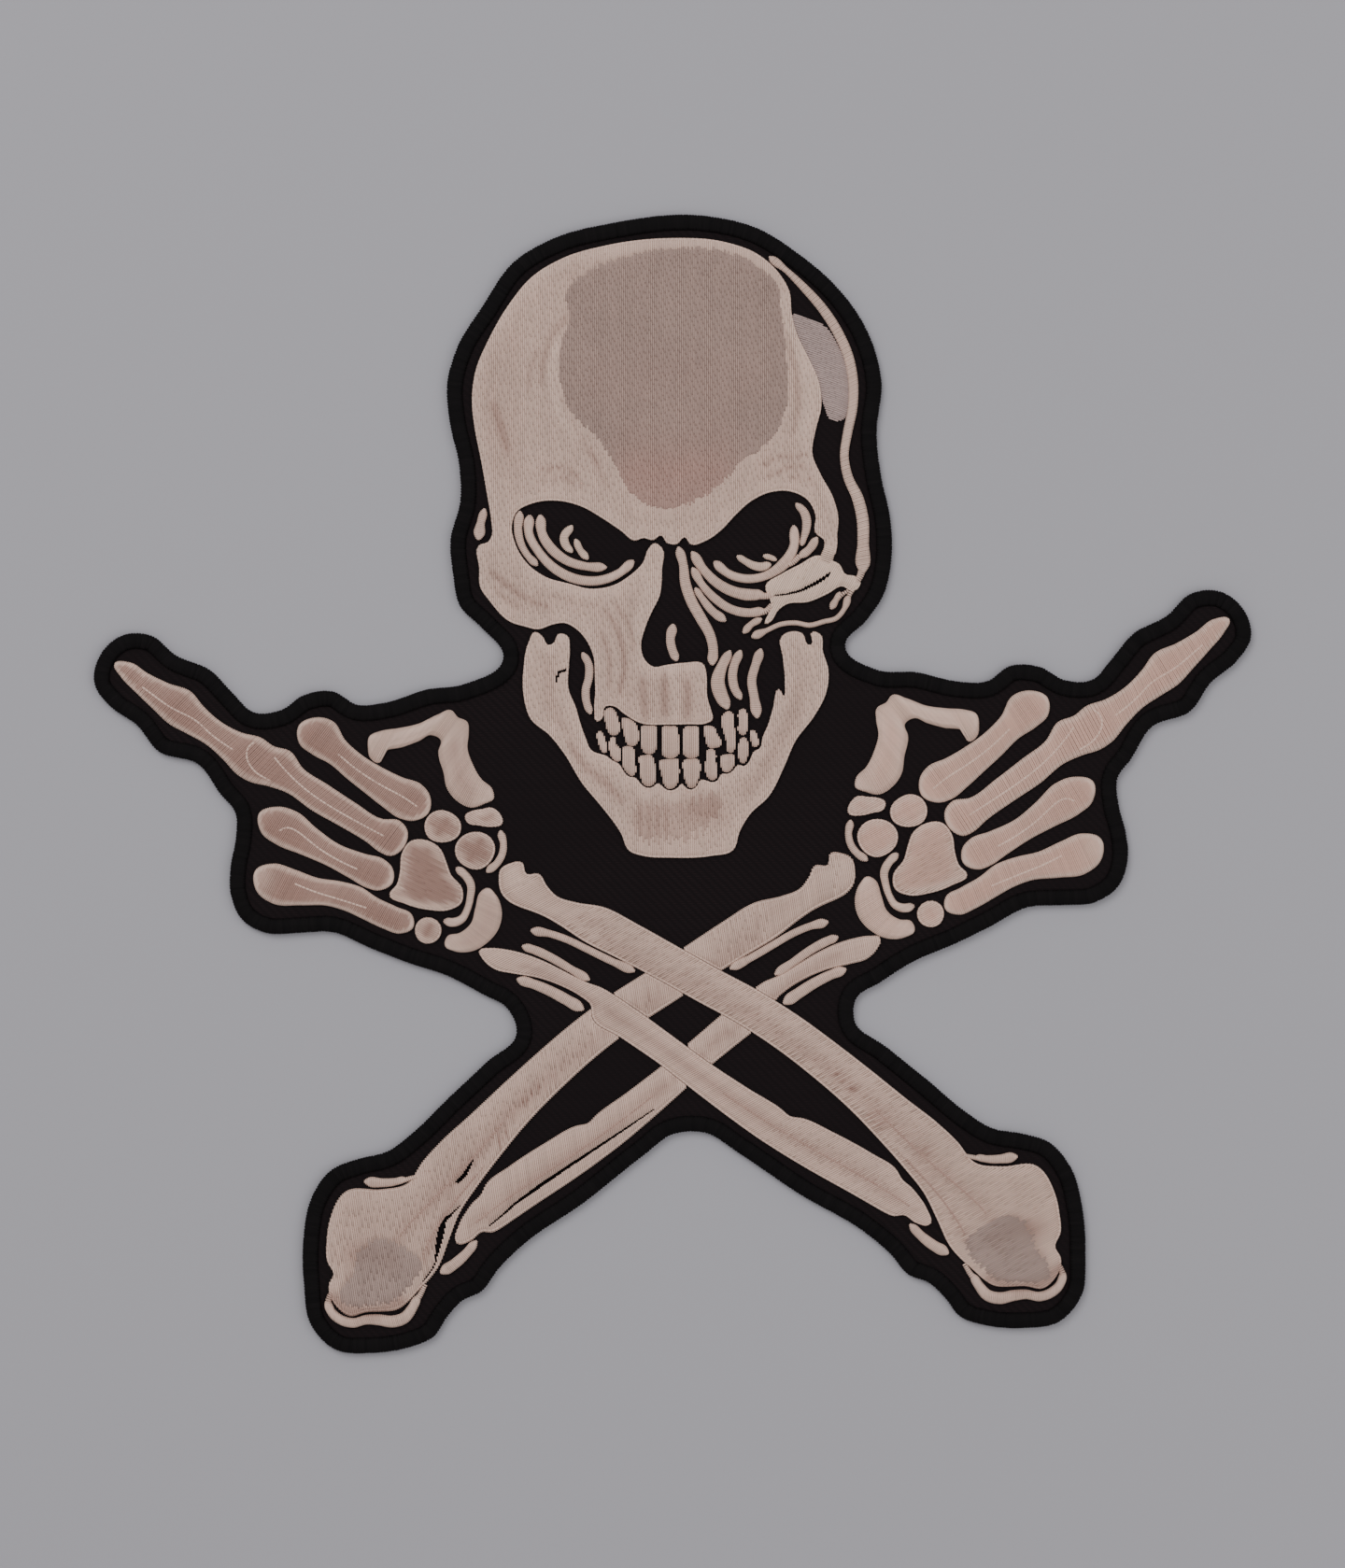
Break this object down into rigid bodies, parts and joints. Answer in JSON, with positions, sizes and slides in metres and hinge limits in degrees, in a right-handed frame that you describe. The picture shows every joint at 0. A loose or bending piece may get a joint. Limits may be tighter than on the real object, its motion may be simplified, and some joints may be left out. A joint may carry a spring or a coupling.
{
  "type": "embroidered patch",
  "caption": "Large shaped embroidered patch of a skull over crossed forearm bones with pointing hands, stitched in cream and tan thread on black cloth with a bound edge.",
  "frame": {"origin": "middle of the patch's width and height, on the flat underside", "axes": "+Z out of the stitched face, +Y up the figure towards the crown of the skull, +X to the figure's right as seen from the front"},
  "size_m": [0.2518, 0.2478, 0.0022],
  "materials": {
    "ground_cloth": "black twill, matt",
    "border_thread": "black rayon thread, soft sheen",
    "cream_thread": "cream rayon thread, soft sheen",
    "pale_thread": "pale cream rayon thread, soft sheen",
    "tan_thread": "pinkish tan rayon thread, soft sheen"
  },
  "bodies": {
    "root": {"arch_line": "cream_thread", "back_arm_elbow_lines": "cream_thread", "back_arm_elbow_shade": "tan_thread", "back_arm_radius": "cream_thread", "back_arm_radius_tendon": "cream_thread", "back_arm_ulna": "cream_thread", "back_arm_ulna_tendons": "cream_thread", "back_hand_capitate": "tan_thread", "back_hand_index_bone": "cream_thread", "back_hand_inner_carpal": "tan_thread", "back_hand_little_bone": "cream_thread", "back_hand_middle_bone": "cream_thread", "back_hand_outer_carpal": "tan_thread", "back_hand_pisiform": "tan_thread", "back_hand_ring_bone": "cream_thread", "back_hand_thumb": "cream_thread", "back_hand_thumb_base": "tan_thread", "back_hand_wrist_crescent": "tan_thread", "back_hand_wrist_hook": "cream_thread", "back_hand_wrist_line": "cream_thread", "border": "border_thread", "cheek_folds": "cream_thread", "chin_shade": "tan_thread", "cranium": "cream_thread", "ear_sliver": "tan_thread", "forehead_shade": "tan_thread", "front_arm_elbow_lines": "cream_thread", "front_arm_elbow_shade": "tan_thread", "front_arm_radius": "cream_thread", "front_arm_radius_tendon": "cream_thread", "front_arm_ulna": "cream_thread", "front_arm_ulna_tendons": "cream_thread", "front_hand_capitate": "tan_thread", "front_hand_index_bone": "cream_thread", "front_hand_inner_carpal": "tan_thread", "front_hand_little_bone": "cream_thread", "front_hand_middle_bone": "cream_thread", "front_hand_outer_carpal": "tan_thread", "front_hand_pisiform": "tan_thread", "front_hand_ring_bone": "cream_thread", "front_hand_thumb": "cream_thread", "front_hand_thumb_base": "tan_thread", "front_hand_wrist_crescent": "tan_thread", "front_hand_wrist_hook": "cream_thread", "front_hand_wrist_line": "cream_thread", "ground_cloth": "ground_cloth", "jaw": "cream_thread", "left_eye_glints": "pale_thread", "left_gum": "cream_thread", "left_socket_folds": "cream_thread", "lower_teeth": "pale_thread", "nose_ridge": "cream_thread", "nose_septum": "tan_thread", "right_cheekbone": "cream_thread", "right_eye_glint": "pale_thread", "right_gums": "cream_thread", "right_socket_folds": "cream_thread", "rim_line": "cream_thread", "temple_shade": "tan_thread", "upper_teeth": "pale_thread"}
  },
  "joints": []
}
